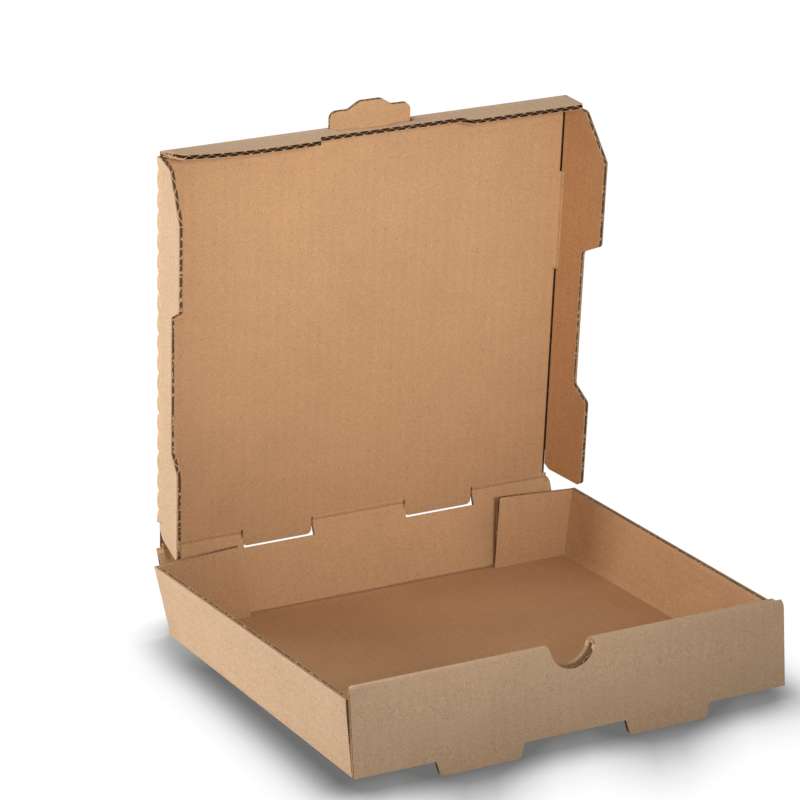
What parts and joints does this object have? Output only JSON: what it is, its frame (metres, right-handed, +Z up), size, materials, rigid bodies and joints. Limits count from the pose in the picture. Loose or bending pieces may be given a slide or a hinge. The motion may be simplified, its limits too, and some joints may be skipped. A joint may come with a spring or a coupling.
{
  "type": "one-piece roll-front corrugated pizza box",
  "caption": "Plain kraft corrugated pizza box standing open: a shallow tray on two front feet, with a hinged lid whose side and front flaps stand off the panel.",
  "frame": {"origin": "middle of the bounding box's bottom, on the surface the box stands on", "axes": "+Z up, -Y towards the front wall with the thumb notch, +X to the right seen from the front"},
  "size_m": [0.2644, 0.2678, 0.295],
  "materials": {
    "kraft_board": "matte uncoated kraft liner"
  },
  "bodies": {
    "tray": {"tray": "kraft_board"},
    "rear_wall": {"rear_wall": "kraft_board"},
    "lid_panel": {"lid_panel": "kraft_board"},
    "lid_front_flap": {"lid_front_flap": "kraft_board"},
    "lid_left_flap": {"lid_left_flap": "kraft_board"},
    "lid_right_flap": {"lid_right_flap": "kraft_board"}
  },
  "joints": [
    {"name": "lid_hinge", "type": "hinge", "parent": "rear_wall", "child": "lid_panel", "pos_m": [0, 0.13281, 0.04549], "axis": [1, 0, 0], "range_deg": [-77.5, 61.4]},
    {"name": "rear_wall_fold", "type": "hinge", "parent": "tray", "child": "rear_wall", "pos_m": [0, 0.11628, 0], "axis": [1, 0, 0], "range_deg": [-22.8, 18.1]},
    {"name": "front_flap_fold", "type": "hinge", "parent": "lid_panel", "child": "lid_front_flap", "pos_m": [0, 0.09954, 0.28135], "axis": [1, 0, 0], "range_deg": [-13.4, 10.6]},
    {"name": "left_flap_fold", "type": "hinge", "parent": "lid_panel", "child": "lid_left_flap", "pos_m": [-0.1215, 0.13281, 0.04549], "axis": [-0.0042, -0.1397, 0.9902], "range_deg": [-7.7, 6.1]},
    {"name": "right_flap_fold", "type": "hinge", "parent": "lid_panel", "child": "lid_right_flap", "pos_m": [0.1215, 0.13281, 0.04549], "axis": [-0.0042, 0.1397, -0.9902], "range_deg": [-17.8, 14.1]}
  ],
  "couplings": [
    {"joint": "rear_wall_fold", "follows": "lid_hinge", "ratio": 0.29316},
    {"joint": "front_flap_fold", "follows": "lid_hinge", "ratio": 0.17101},
    {"joint": "left_flap_fold", "follows": "lid_hinge", "ratio": 0.09772},
    {"joint": "right_flap_fold", "follows": "lid_hinge", "ratio": 0.22801}
  ]
}
